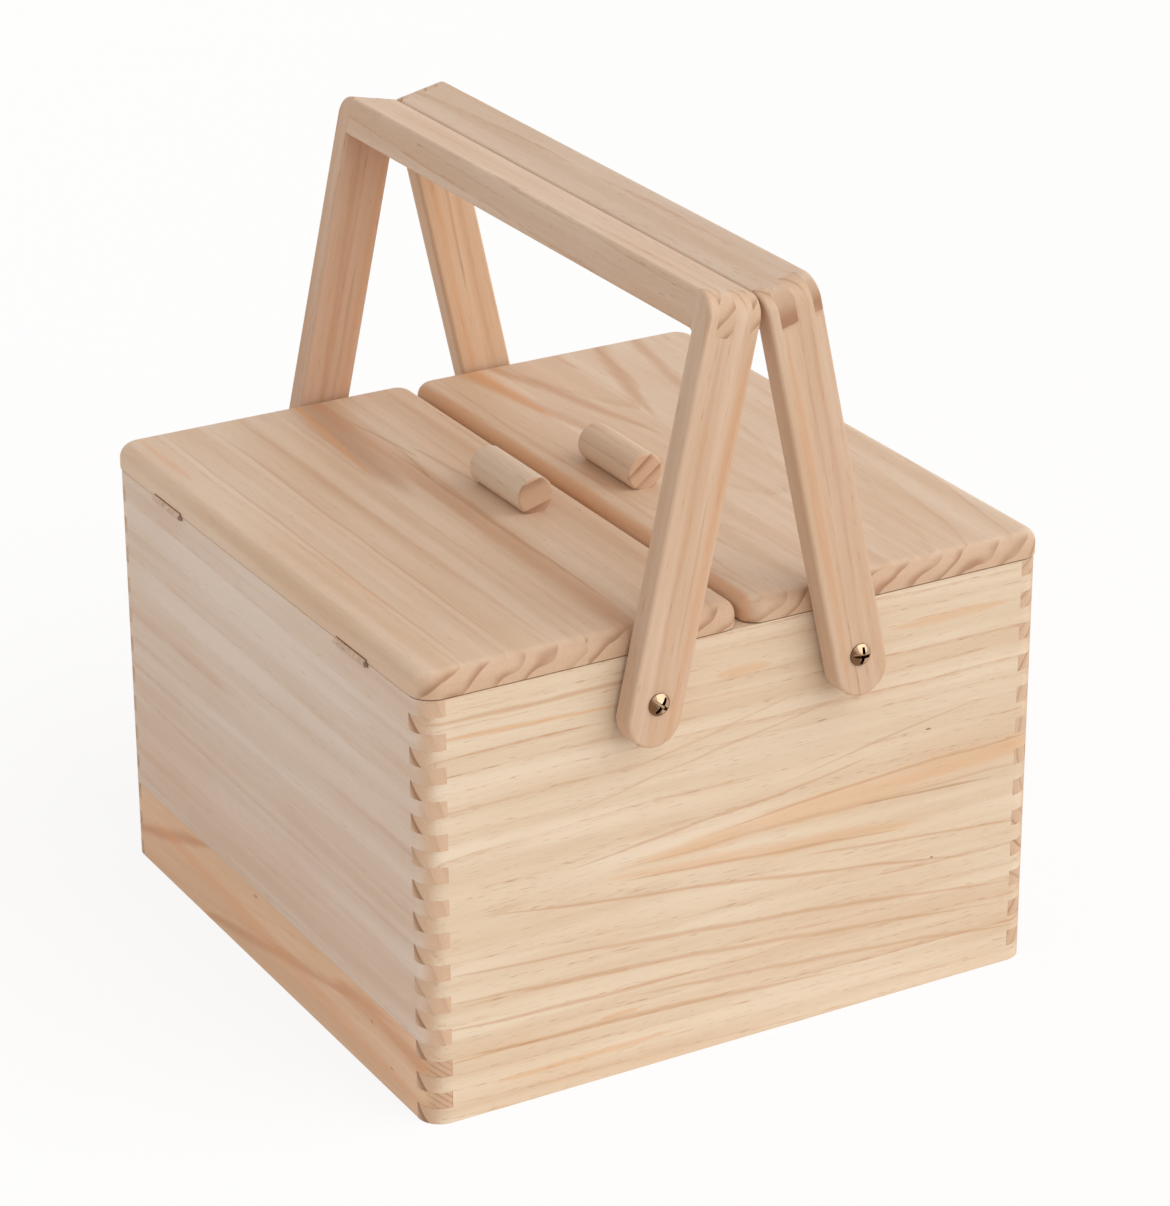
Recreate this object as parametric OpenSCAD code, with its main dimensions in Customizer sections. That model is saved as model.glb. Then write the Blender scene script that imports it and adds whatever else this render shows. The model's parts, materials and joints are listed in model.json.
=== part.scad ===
// Sewing carrier: a finger-jointed pine box with two hinged lids and two swinging handles.
// The origin is on the floor under the middle of the box. +X is to the right, -Y is the front.
// Every size is in millimetres.

/* [Box] */
// Width of the box from side to side
box_w = 275; // [220:1:360]
// Depth of the box from front to back
box_d = 273; // [200:1:360]
// Height of the box from the floor to the rim
box_h = 177; // [120:1:260]
// Thickness of the boards that the walls are made of
board_t = 10; // [8:0.5:14]
// Rounding of the four upright corners
corner_r = 9.5; // [2:0.5:12]

/* [Corner joints] */
// Number of fingers up each corner, those of both boards counted
finger_n = 26; // [10:2:40]
// Number of those fingers that the lower board of a side takes up
low_board_n = 5; // [2:1:8]

/* [Bottom panel] */
// Thickness of the bottom panel
bottom_t = 4; // [3:0.5:8]
// Height of the bottom panel above the floor
bottom_lift = 6; // [3:0.5:15]
// Depth of the groove in the walls that holds the bottom panel
groove_depth = 4; // [2:0.5:6]

/* [Lids] */
// Thickness of the lid boards
lid_t = 10; // [8:0.5:16]
// How far a lid stands out past the box on its three outer edges
lid_over = 0.5; // [0:0.1:0.8]
// Air between the closed lid and the rim
lid_lift = 0.7; // [0.3:0.05:0.8]
// Gap between the two closed lids
lid_gap = 2.5; // [1:0.5:6]
// Rounding of a lid's upper edges
lid_round = 6; // [2:0.5:7]
// Rounding of a lid's corners beside the gap, seen from above
lid_inner_r = 8; // [7:0.5:20]
// Distance of a lid's glue line from the middle of the box
lid_glue_x = 68; // [45:1:95]

/* [Knobs] */
// Diameter of the dowel that a knob is cut from
knob_d = 16; // [12:0.5:24]
// Length of a knob
knob_l = 41; // [25:1:80]
// Height of a knob above the lid, less than its diameter because its foot is planed flat
knob_h = 15; // [10:0.5:16]
// Distance of a knob from the middle of the box
knob_x = 25; // [16:1:50]
// Distance between the two screws of a knob
knob_screw_pitch = 22; // [14:1:50]
// Rounding of a knob's ends
knob_round = 1.2; // [0.5:0.1:3]
// Wood left over the tips of a knob's screws
knob_screw_skin = 4; // [3:0.5:8]

/* [Handles] */
// Width of the legs and the bar
leg_w = 23; // [16:0.5:32]
// Thickness of a leg
leg_t = 10.5; // [8:0.5:16]
// Thickness of the bar
bar_t = 15.5; // [12:0.5:24]
// Length of a leg from its pivot to the top of the bar
leg_l = 157; // [120:1:220]
// Length of a leg below its pivot
leg_end = 18; // [14:0.5:30]
// Rounding of the two upper outer corners of a handle
handle_r = 9; // [4:0.5:10]
// Rounding of the long edges of a handle
edge_r = 1.5; // [0.5:0.25:3.5]
// Width of a finger in the joints between leg and bar
handle_finger_w = 7.3; // [4:0.1:10]
// Distance of a pivot from the middle of the box
pivot_x = 44.5; // [30:0.5:70]
// Depth of a pivot below the rim
pivot_drop = 16.6; // [12:0.2:40]
// Air between the two bars where the handles lean on each other
bar_gap = 0.4; // [0.3:0.1:3]

/* [Pivot screws] */
// Diameter of the pivot screws
pivot_d = 5; // [4:0.5:6]
// Diameter of their domed heads
pivot_head_d = 9; // [8:0.5:14]
// Height of their domed heads
pivot_head_h = 2.6; // [2:0.1:4]
// Height of the straight rim under the dome
pivot_rim_h = 0.6; // [0.3:0.1:1]
// Turn of the cross recess from upright
cross_turn = 20; // [0:5:45]
// Thickness of the spacer washer between leg and wall
spacer_t = 1.5; // [1:0.1:4]
// Diameter of the spacer washer
spacer_d = 16; // [12:0.5:20]
// Thickness of the washer under the nut, inside the box
inner_washer_t = 1; // [0.6:0.1:2]
// Diameter of the washer under the nut
inner_washer_d = 12; // [10:0.5:16]
// Width of the nut across its flats
nut_af = 8; // [7:0.5:10]
// Height of the nut
nut_h = 4; // [3:0.2:6]

/* [Hinges] */
// Length of a hinge
hinge_l = 25; // [15:1:50]
// Distance of a hinge from the middle of the box, front and back
hinge_y = 82; // [40:1:110]
// How far the pin stands outside the side of the box
pin_out = 0.5; // [0.5:0.1:1.5]
// Diameter of the knuckles
knuckle_d = 3; // [2.6:0.1:5]
// Diameter of the pin
pin_d = 1.5; // [1:0.1:2.5]
// Wood left between a leaf and the inner face of the wall
leaf_margin = 1.5; // [0.5:0.1:2.5]
// Thickness of a leaf
leaf_t = 1; // [0.8:0.1:1.2]
// Diameter of the small screws in the leaves
leaf_screw_d = 2.2; // [1.6:0.1:2.6]
// Length of the small screws in the leaves
leaf_screw_l = 7; // [5:0.5:8]

/* [Clearances] */
// Radial clearance of a leg on its pivot screw and of a knuckle on its pin
run_gap = 0.05; // [0.02:0.01:0.1]
// Air between a leg and the spacer washer or screw head beside it
side_gap = 0.05; // [0.05:0.05:0.3]
// Radial clearance of a screw in its hole in the wood
hole_gap = 0.1; // [0.05:0.05:0.3]
// Air round the knuckles and between the two leaves of a hinge
leaf_gap = 0.3; // [0.2:0.05:0.6]

/* [Hidden] */
$fn = 64;
far = 1000;
finger_h = fine(box_h / finger_n);
lid_half = fine(box_d / 2 + lid_over);
lid_z = box_h + lid_lift;
lid_top = lid_z + lid_t;
// The fillets stay inside the boards that they are cut in
least_flat = 0.5;
wall_r = fine(min(corner_r, board_t - least_flat));
handle_corner_r = fine(min(handle_r, leg_t - least_flat));
lid_outer_r = fine(max(wall_r + lid_over, lid_round + least_flat));
knob_sink = knob_d / 2 - (knob_d - knob_h);
// Cross recesses: arm width and depth as shares of the screw, arm reach as a share of the head
cross_w = 0.22;
cross_depth = 0.35;
cross_reach = 0.52;
// Diameter of a countersunk head as a multiple of the screw's
screw_head_ratio = 1.9;
knob_screw_d = 3.2;
knob_screw_len = lid_t + knob_h - knob_screw_skin;
pivot_z = box_h - pivot_drop;
leg_in = box_d / 2 + spacer_t + side_gap;
leg_out = leg_in + leg_t;
// The angle at which the rounded inner edges of the two bars come together
lean_reach = leg_l - edge_r;
lean_half = leg_w / 2 - edge_r;
lean = asin((pivot_x - edge_r - bar_gap / 2) / sqrt(pow(lean_reach, 2) + pow(lean_half, 2)))
    - atan2(lean_half, lean_reach);
pin_x = box_w / 2 + pin_out;
leaf_w = pin_out + board_t - leaf_margin;
knuckle_r = knuckle_d / 2;
knuckle_third = hinge_l / 6;
leaf_screw_x = pin_out + board_t / 2;
leaf_screw_y = hinge_l / 3;
thread_past_nut = 1;
wood = "burlywood";
wood_pale = "wheat";
wood_dark = "tan";
metal = "silver";

// Helpers

// A size held to a thousandth, so that faces that are worked out apart still meet
function fine(v) = round(v * 1000) / 1000;

// Turns its children, drawn along +Z, so that they run along +Y
module along_y() {
    rotate([-90, 0, 0]) children();
}

// A rectangle with round corners, centred on the origin
module round_rect(w, h, r) {
    in_x = fine(w / 2) - fine(r);
    in_y = fine(h / 2) - fine(r);
    union() {
        square([2 * in_x, 2 * (in_y + fine(r))], center = true);
        square([2 * (in_x + fine(r)), 2 * in_y], center = true);
        for (x = [-in_x, in_x])
            for (y = [-in_y, in_y])
                translate([x, y]) circle(fine(r));
    }
}

// Everything inside the outer faces of the box and its rounded corners
module box_outline() {
    linear_extrude(box_h) round_rect(box_w, box_d, wall_r);
}

// A countersunk screw with its head's top on z = 0, pointing down
module countersunk_screw(d, len) {
    head_r = d / 2 * screw_head_ratio;
    difference() {
        rotate_extrude()
            polygon([
                [0, 0],
                [head_r, 0],
                [d / 2, -(head_r - d / 2)],
                [d / 2, -len + d],
                [0, -len]
            ]);
        for (turn = [0, 90])
            rotate([0, 0, turn])
                translate([-head_r * cross_reach, -d * cross_w / 2, -d * cross_depth])
                    cube([2 * head_r * cross_reach, d * cross_w, d]);
    }
}

// The hole for such a screw, a little wider all round and open at the top
module countersunk_hole(d, len) {
    head_r = d / 2 * screw_head_ratio + hole_gap;
    hole_r = d / 2 + hole_gap;
    translate([0, 0, -len - hole_gap]) cylinder(r = hole_r, h = len + 2 * hole_gap);
    translate([0, 0, -(head_r - hole_r)]) cylinder(r1 = hole_r, r2 = head_r, h = head_r - hole_r);
    cylinder(r = head_r, h = 1);
}

// Box

// The bottom panel, and the grooves that it sits in
module bottom_blank() {
    w = box_w - 2 * board_t + 2 * groove_depth;
    d = box_d - 2 * board_t + 2 * groove_depth;
    translate([-w / 2, -d / 2, bottom_lift]) cube([w, d, bottom_t]);
}

// The holes of the four pivot screws through the front and the back
module pivot_holes() {
    for (x = [-1, 1])
        translate([x * pivot_x, -far / 2, pivot_z])
            along_y() cylinder(d = pivot_d + 2 * hole_gap, h = far);
}

// The slots between a board's fingers at both of its ends along X, every second one from the first
module finger_slots(first, half_span) {
    last = finger_n - 1;
    for (k = [first : 2 : last]) {
        from = k == 0 ? -far : k * finger_h;
        to = k == last ? far : (k + 1) * finger_h;
        for (end = [0, 1])
            mirror([end, 0, 0])
                translate([half_span, -far / 2, from]) cube([far, far, to - from]);
    }
}

// The front for side = -1, the back for side = 1, with every even finger out to the sides
module end_panel(side) {
    difference() {
        intersection() {
            box_outline();
            translate([-far / 2, side < 0 ? board_t - box_d / 2 - far : box_d / 2 - board_t, -far / 2])
                cube(far);
        }
        finger_slots(1, box_w / 2 - board_t);
        bottom_blank();
        pivot_holes();
    }
}

// One board of a side wall between two fingers, with every odd finger out to the front and back
module side_board(side, from, to) {
    low = from == 0 ? -1 : from * finger_h;
    high = to == finger_n ? box_h + 1 : to * finger_h;
    difference() {
        intersection() {
            box_outline();
            translate([side < 0 ? board_t - box_w / 2 - far : box_w / 2 - board_t, -far / 2, low])
                cube([far, far, high - low]);
        }
        rotate([0, 0, 90]) finger_slots(0, box_d / 2 - board_t);
        bottom_blank();
        if (to == finger_n)
            for (y = [-hinge_y, hinge_y])
                at_hinge(side, y) case_leaf_seat();
    }
}

module front_panel() {
    color(wood_pale) end_panel(-1);
}

module back_panel() {
    color(wood_pale) end_panel(1);
}

module left_upper_board() {
    color(wood) side_board(-1, low_board_n, finger_n);
}

module left_lower_board() {
    color(wood_dark) side_board(-1, 0, low_board_n);
}

module right_upper_board() {
    color(wood) side_board(1, low_board_n, finger_n);
}

module right_lower_board() {
    color(wood_dark) side_board(1, 0, low_board_n);
}

module bottom_panel() {
    color(wood_dark) bottom_blank();
}

// Hinges

// Puts its children at a hinge, with the pin along Y at the origin and the box towards +X
module at_hinge(side, y) {
    translate([side * pin_x, y, box_h])
        mirror([side > 0 ? 1 : 0, 0, 0])
            children();
}

// A round bar about the pin from one place along it to another
module about_pin(r, from, to) {
    translate([0, from, 0]) along_y() cylinder(r = r, h = to - from);
}

// The room that the knuckles need in the edge of a board
module knuckle_room() {
    about_pin(knuckle_r + leaf_gap, -hinge_l / 2 - leaf_gap, hinge_l / 2 + leaf_gap);
}

// The two screw holes of a leaf, head side up
module leaf_screw_spots() {
    for (y = [-leaf_screw_y, leaf_screw_y])
        translate([leaf_screw_x, y, 0]) children();
}

// What is cut from the rim for the case leaf and its screws
module case_leaf_seat() {
    top = -leaf_gap / 2;
    knuckle_room();
    translate([0, -hinge_l / 2, top - leaf_t])
        cube([leaf_w + leaf_gap, hinge_l, leaf_t - top + 1]);
    leaf_screw_spots() translate([0, 0, top]) countersunk_hole(leaf_screw_d, leaf_screw_l);
}

// What is cut from the underside of the lid for the lid leaf and its screws
module lid_leaf_seat() {
    mirror([0, 0, 1]) case_leaf_seat();
}

// A leaf lying under the pin's height, with its knuckles at the ends or in the middle
module leaf(knuckles_at_ends) {
    inner = knuckle_third - run_gap;
    outer = knuckle_third + run_gap;
    cut_inner = inner - run_gap;
    cut_outer = outer + run_gap;
    difference() {
        union() {
            difference() {
                translate([0, -hinge_l / 2, -leaf_gap / 2 - leaf_t])
                    cube([leaf_w, hinge_l, leaf_t]);
                if (knuckles_at_ends) {
                    about_pin(knuckle_r + leaf_gap, -cut_outer, cut_outer);
                } else {
                    about_pin(knuckle_r + leaf_gap, -far, -cut_inner);
                    about_pin(knuckle_r + leaf_gap, cut_inner, far);
                }
            }
            if (knuckles_at_ends) {
                about_pin(knuckle_r, -hinge_l / 2, -outer);
                about_pin(knuckle_r, outer, hinge_l / 2);
            } else {
                about_pin(knuckle_r, -inner, inner);
            }
        }
        about_pin(pin_d / 2 + run_gap, -far, far);
        leaf_screw_spots()
            translate([0, 0, -leaf_gap / 2]) countersunk_hole(leaf_screw_d, leaf_screw_l);
    }
}

module case_leaf(side, y) {
    color(metal) at_hinge(side, y) leaf(true);
}

module lid_leaf(side, y) {
    color(metal) at_hinge(side, y) mirror([0, 0, 1]) leaf(false);
}

module hinge_pin(side, y) {
    color(metal) at_hinge(side, y) about_pin(pin_d / 2, -hinge_l / 2, hinge_l / 2);
}

module case_leaf_screws(side) {
    color(metal)
        for (y = [-hinge_y, hinge_y])
            at_hinge(side, y)
                leaf_screw_spots()
                    translate([0, 0, -leaf_gap / 2]) countersunk_screw(leaf_screw_d, leaf_screw_l);
}

module lid_leaf_screws(side) {
    color(metal)
        for (y = [-hinge_y, hinge_y])
            at_hinge(side, y)
                mirror([0, 0, 1])
                    leaf_screw_spots()
                        translate([0, 0, -leaf_gap / 2])
                            countersunk_screw(leaf_screw_d, leaf_screw_l);
}

// Lids

// The side view of a board edge: full below, a quarter round of lid_round at the top
module edge_profile(reach) {
    intersection() {
        square([reach, lid_t]);
        union() {
            square([reach, lid_t - lid_round]);
            translate([lid_round, 0]) square([reach - lid_round, lid_t]);
            translate([lid_round, lid_t - lid_round]) circle(lid_round);
        }
    }
}

// One corner of a lid board, a quarter of a disc with a rounded rim, in the +X +Y quarter
module lid_corner(r) {
    intersection() {
        rotate_extrude()
            intersection() {
                translate([r, 0]) mirror([1, 0]) edge_profile(r);
                square([r, lid_t]);
            }
        cube([r, r, lid_t]);
    }
}

// A lid board of width w from its rounded edge at x = 0 to its glue line, corners of radius r
module lid_board(w, r) {
    union() {
        // The stretch between the corners and the glue line
        translate([r, 0, 0])
            rotate([90, 0, 90])
                linear_extrude(w - r)
                    union() {
                        translate([-lid_half, 0]) edge_profile(lid_half);
                        translate([lid_half, 0]) mirror([1, 0]) edge_profile(lid_half);
                    }
        // The long outer edge between the two corners
        translate([0, lid_half - r, 0])
            rotate([90, 0, 0])
                linear_extrude(2 * (lid_half - r))
                    intersection() {
                        edge_profile(r + 1);
                        square([r, lid_t]);
                    }
        for (s = [0, 1])
            mirror([0, s, 0])
                translate([r, lid_half - r, 0])
                    mirror([1, 0, 0]) lid_corner(r);
    }
}

// Puts its children at the lid's hinged edge, with +X towards the middle of the box
module at_lid_edge(side) {
    translate([side * (box_w / 2 + lid_over), 0, lid_z])
        mirror([side > 0 ? 1 : 0, 0, 0])
            children();
}

module lid_outer_board(side) {
    difference() {
        at_lid_edge(side) lid_board(box_w / 2 + lid_over - lid_glue_x, lid_outer_r);
        for (y = [-hinge_y, hinge_y])
            at_hinge(side, y) lid_leaf_seat();
    }
}

module lid_inner_board(side) {
    difference() {
        translate([side * lid_gap / 2, 0, lid_z])
            mirror([side < 0 ? 1 : 0, 0, 0])
                lid_board(lid_glue_x - lid_gap / 2, lid_inner_r);
        knob_screw_spots(side) countersunk_hole(knob_screw_d, knob_screw_len);
    }
}

module left_lid_outer_board() {
    color(wood) lid_outer_board(-1);
}

module left_lid_inner_board() {
    color(wood) lid_inner_board(-1);
}

module right_lid_outer_board() {
    color(wood) lid_outer_board(1);
}

module right_lid_inner_board() {
    color(wood) lid_inner_board(1);
}

// Knobs

// Puts its children at the screws of a knob, on the lid's underside, turned to point up
module knob_screw_spots(side) {
    for (y = [-1, 1])
        translate([side * knob_x, y * knob_screw_pitch / 2, lid_z])
            mirror([0, 0, 1])
                children();
}

// A length of dowel with eased ends, lying along Y, its foot planed flat on the lid
module knob(side) {
    r = knob_d / 2;
    color(wood)
        difference() {
            translate([side * knob_x, -knob_l / 2, lid_top + knob_sink])
                along_y()
                    rotate_extrude()
                        intersection() {
                            translate([0, knob_l / 2]) round_rect(knob_d, knob_l, knob_round);
                            square([r, knob_l]);
                        }
            translate([side * knob_x - far / 2, -far / 2, lid_top - far]) cube(far);
            knob_screw_spots(side) countersunk_hole(knob_screw_d, knob_screw_len);
        }
}

module knob_screws(side) {
    color(metal) knob_screw_spots(side) countersunk_screw(knob_screw_d, knob_screw_len);
}

module left_knob() {
    knob(-1);
}

module right_knob() {
    knob(1);
}

// Handles, each drawn upright with its pivot on the Y axis at z = 0 and then leaned over

// Puts its children in the place of the left handle for side = -1, the right for side = 1
module at_handle(side) {
    translate([side * pivot_x, 0, pivot_z])
        rotate([0, -side * lean, 0])
            children();
}

// A disc with a rounded rim lying across the Y axis, from y to y + t
module round_disc(r, y, t) {
    translate([0, y, 0])
        along_y()
            rotate_extrude()
                intersection() {
                    translate([0, t / 2]) round_rect(2 * r, t, edge_r);
                    square([r, t]);
                }
}

// The upper corner of a handle at +Y, whole, with its outer edges eased
module handle_corner() {
    mid_y = leg_out - handle_corner_r;
    mid_z = leg_l - handle_corner_r;
    union() {
        // Beside the leg, below the arc
        intersection() {
            translate([-leg_w, leg_in, leg_l - bar_t])
                cube([2 * leg_w, far, bar_t - handle_corner_r]);
            translate([0, leg_out - far / 2, 0])
                linear_extrude(far) round_rect(leg_w, far, edge_r);
        }
        // Under the bar's top, on the bar's side of the arc
        intersection() {
            translate([-leg_w, leg_in, leg_l - bar_t]) cube([2 * leg_w, mid_y - leg_in, far]);
            translate([0, 0, leg_l - far / 2])
                along_y() linear_extrude(far) round_rect(leg_w, far, edge_r);
        }
        // The arc itself
        intersection() {
            translate([-leg_w, mid_y, mid_z]) cube([2 * leg_w, far, far]);
            translate([0, mid_y, mid_z])
                rotate([0, 90, 0])
                    rotate_extrude()
                        intersection() {
                            round_rect(2 * handle_corner_r, leg_w, edge_r);
                            translate([0, -leg_w]) square([far, 2 * leg_w]);
                        }
        }
    }
}

// The part of the corner that one board has, its fingers being the even ones or the odd ones,
// counted from -X and laid out from the middle of the joint
module corner_fingers(odd) {
    half_n = floor(leg_w / 2 / handle_finger_w) + 1;
    intersection() {
        handle_corner();
        for (k = [odd - half_n : 2 : half_n - 1])
            translate([k * handle_finger_w, 0, 0]) cube([handle_finger_w, far, far]);
    }
}

// A leg at +Y
module leg() {
    foot_z = -leg_end + leg_w / 2;
    difference() {
        union() {
            translate([0, leg_in + leg_t / 2, foot_z])
                linear_extrude(leg_l - bar_t - foot_z) round_rect(leg_w, leg_t, edge_r);
            translate([0, 0, foot_z]) round_disc(leg_w / 2, leg_in, leg_t);
            corner_fingers(0);
        }
        along_y() cylinder(d = pivot_d + 2 * run_gap, h = far);
    }
}

// The bar with its fingers at both ends
module bar() {
    union() {
        translate([0, -leg_in, leg_l - bar_t / 2])
            along_y() linear_extrude(2 * leg_in) round_rect(leg_w, bar_t, edge_r);
        corner_fingers(1);
        mirror([0, 1, 0]) corner_fingers(1);
    }
}

module handle_leg(side, front) {
    color(wood) at_handle(side) mirror([0, front, 0]) leg();
}

module handle_bar(side) {
    color(wood_pale) at_handle(side) bar();
}

// Pivots, each drawn at +Y and mirrored to the front

module at_pivots() {
    for (x = [-1, 1])
        for (s = [0, 1])
            mirror([0, s, 0])
                translate([x * pivot_x, 0, pivot_z])
                    children();
}

module ring(d, hole, y, t) {
    translate([0, y, 0])
        along_y()
            difference() {
                cylinder(d = d, h = t);
                translate([0, 0, -1]) cylinder(d = hole, h = t + 2);
            }
}

// A domed cross-recess head on a round shank that runs in to the nut
module pivot_screw() {
    head_y = leg_out + side_gap;
    nut_y = box_d / 2 - board_t - inner_washer_t - nut_h;
    rise = pivot_head_h - pivot_rim_h;
    arm_w = pivot_d * cross_w;
    arm_l = pivot_head_d * cross_reach;
    dome_r = (pow(pivot_head_d / 2, 2) + pow(rise, 2)) / (2 * rise);
    difference() {
        union() {
            translate([0, nut_y - thread_past_nut, 0])
                along_y() cylinder(d = pivot_d, h = head_y - nut_y + thread_past_nut + pivot_rim_h);
            translate([0, head_y, 0])
                intersection() {
                    along_y() cylinder(d = pivot_head_d, h = pivot_head_h);
                    translate([0, pivot_head_h - dome_r, 0]) sphere(dome_r);
                }
        }
        for (turn = [0, 90])
            rotate([0, turn + cross_turn, 0])
                translate([-arm_l / 2, head_y + pivot_head_h - pivot_d * cross_depth, -arm_w / 2])
                    cube([arm_l, pivot_head_h, arm_w]);
    }
}

module pivot_nut() {
    translate([0, box_d / 2 - board_t - inner_washer_t - nut_h, 0])
        along_y()
            difference() {
                cylinder(d = nut_af / cos(30), h = nut_h, $fn = 6);
                translate([0, 0, -1]) cylinder(d = pivot_d + 2 * run_gap, h = nut_h + 2);
            }
}

module pivot_screws() {
    color(metal) at_pivots() pivot_screw();
}

module spacer_washers() {
    color(metal) at_pivots() ring(spacer_d, pivot_d + 2 * hole_gap, box_d / 2, spacer_t);
}

module inner_washers() {
    color(metal)
        at_pivots()
            ring(
                inner_washer_d,
                pivot_d + 2 * hole_gap,
                box_d / 2 - board_t - inner_washer_t,
                inner_washer_t
            );
}

module pivot_nuts() {
    color(metal) at_pivots() pivot_nut();
}

front_panel();
back_panel();
left_upper_board();
left_lower_board();
right_upper_board();
right_lower_board();
bottom_panel();
left_lid_outer_board();
left_lid_inner_board();
right_lid_outer_board();
right_lid_inner_board();
left_knob();
right_knob();
knob_screws(-1);  // left_knob_screws
knob_screws(1);  // right_knob_screws
handle_leg(-1, 1);  // left_handle_front_leg
handle_leg(-1, 0);  // left_handle_back_leg
handle_bar(-1);  // left_handle_bar
handle_leg(1, 1);  // right_handle_front_leg
handle_leg(1, 0);  // right_handle_back_leg
handle_bar(1);  // right_handle_bar
pivot_screws();
spacer_washers();
inner_washers();
pivot_nuts();
case_leaf(-1, -hinge_y);  // left_front_hinge_case_leaf
lid_leaf(-1, -hinge_y);  // left_front_hinge_lid_leaf
hinge_pin(-1, -hinge_y);  // left_front_hinge_pin
case_leaf(-1, hinge_y);  // left_back_hinge_case_leaf
lid_leaf(-1, hinge_y);  // left_back_hinge_lid_leaf
hinge_pin(-1, hinge_y);  // left_back_hinge_pin
case_leaf(1, -hinge_y);  // right_front_hinge_case_leaf
lid_leaf(1, -hinge_y);  // right_front_hinge_lid_leaf
hinge_pin(1, -hinge_y);  // right_front_hinge_pin
case_leaf(1, hinge_y);  // right_back_hinge_case_leaf
lid_leaf(1, hinge_y);  // right_back_hinge_lid_leaf
hinge_pin(1, hinge_y);  // right_back_hinge_pin
case_leaf_screws(-1);  // left_case_leaf_screws
lid_leaf_screws(-1);  // left_lid_leaf_screws
case_leaf_screws(1);  // right_case_leaf_screws
lid_leaf_screws(1);  // right_lid_leaf_screws
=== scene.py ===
"""Finishes a pine sewing carrier: solid pine boards, brass hinges, nickel screws and a studio stage.

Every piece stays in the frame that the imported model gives, in metres, with its front towards -Y.
The grain of each board is a slice through a log, so faces, edges and ends agree with each other.
"""

import json
import math

import bpy
from mathutils import Matrix, Vector

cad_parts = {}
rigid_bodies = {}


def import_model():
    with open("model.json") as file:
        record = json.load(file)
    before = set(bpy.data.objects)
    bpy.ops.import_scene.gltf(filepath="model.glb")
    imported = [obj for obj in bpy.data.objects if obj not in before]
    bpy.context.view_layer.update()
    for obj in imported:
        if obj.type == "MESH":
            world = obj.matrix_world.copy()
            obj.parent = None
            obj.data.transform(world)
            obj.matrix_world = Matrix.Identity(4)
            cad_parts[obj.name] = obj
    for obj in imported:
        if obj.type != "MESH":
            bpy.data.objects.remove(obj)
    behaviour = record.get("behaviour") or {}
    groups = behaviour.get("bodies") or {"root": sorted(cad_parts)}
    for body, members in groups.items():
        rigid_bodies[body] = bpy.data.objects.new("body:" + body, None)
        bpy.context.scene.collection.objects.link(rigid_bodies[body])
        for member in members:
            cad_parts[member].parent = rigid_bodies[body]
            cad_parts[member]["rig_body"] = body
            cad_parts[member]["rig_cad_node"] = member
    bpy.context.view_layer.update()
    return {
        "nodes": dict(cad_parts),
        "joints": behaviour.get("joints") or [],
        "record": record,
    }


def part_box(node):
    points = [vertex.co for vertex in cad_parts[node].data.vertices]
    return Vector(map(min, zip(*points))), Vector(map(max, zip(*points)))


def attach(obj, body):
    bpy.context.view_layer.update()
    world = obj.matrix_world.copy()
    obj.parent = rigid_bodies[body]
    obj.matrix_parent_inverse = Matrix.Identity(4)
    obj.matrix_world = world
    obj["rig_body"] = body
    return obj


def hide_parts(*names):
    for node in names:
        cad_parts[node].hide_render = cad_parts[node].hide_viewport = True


bl_info = {
    "name": "Sewing carrier finishes",
    "version": (1, 0, 0),
    "blender": (4, 5, 0),
    "location": "View3D > Sidebar > Carrier",
    "description": "Eased pine boards, screws, hinges and a stage for a sewing carrier",
    "category": "Object",
}

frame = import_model()
JOINTS = {joint["name"]: joint for joint in frame["joints"]}
# The record's material slot of each node, read before any node gets its own material
SLOTS = {
    name: node.material_slots[0].material.name.split(".")[0] for name, node in frame["nodes"].items()
}

MM = 0.001
LOW, HIGH = 0, 1
X, Y, Z = Vector((1, 0, 0)), Vector((0, 1, 0)), Vector((0, 0, 1))

# Merging, flattening, shading and easing of meshes
MERGE = 0.004 * MM
FLAT_ANGLE = math.radians(0.4)
SMOOTH_ANGLE = math.radians(32)
BOARD_EDGE_ANGLE = math.radians(40)
HEAD_EDGE_ANGLE = math.radians(38)
EASE_SEGMENTS = 2

# Pivot screws
SCREW_SIDES = 64
DOME_STEPS = 7
# The floor of the recess as shares of its mouth
RECESS_TAPER = (0.7, 1, 0.45)
# The way that a screw's surface faces where painted reflection and painted shade darken its colour most
PAINTED_SHADE_SIDE = (-0.85, 0.0, -0.5)

# Camera film in millimetres, how far the camera sees in metres, and where the key lamp stands
FILM_WIDTH = 36
FAR_CLIP = 50
KEY_TOWARDS = (0.52, -0.66, 0.55)


def srgb(code):
    """A colour as it looks on the screen, such as "E3CBAE", as the numbers that a shader takes."""
    parts = [int(code[i : i + 2], 16) / 255 for i in (0, 2, 4)]
    return tuple(c / 12.92 if c <= 0.04045 else ((c + 0.055) / 1.055) ** 2.4 for c in parts)


def colour_prop(name, description, code):
    """A colour that the panel shows, with its default as it looks on the screen."""
    return bpy.props.FloatVectorProperty(
        name=name, description=description, default=srgb(code), subtype="COLOR", min=0, max=1
    )


def length_prop(name, description, size_mm):
    """A length that the panel shows, with its default in millimetres."""
    return bpy.props.FloatProperty(
        name=name, description=description, default=size_mm * MM, subtype="DISTANCE", unit="LENGTH"
    )


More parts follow.
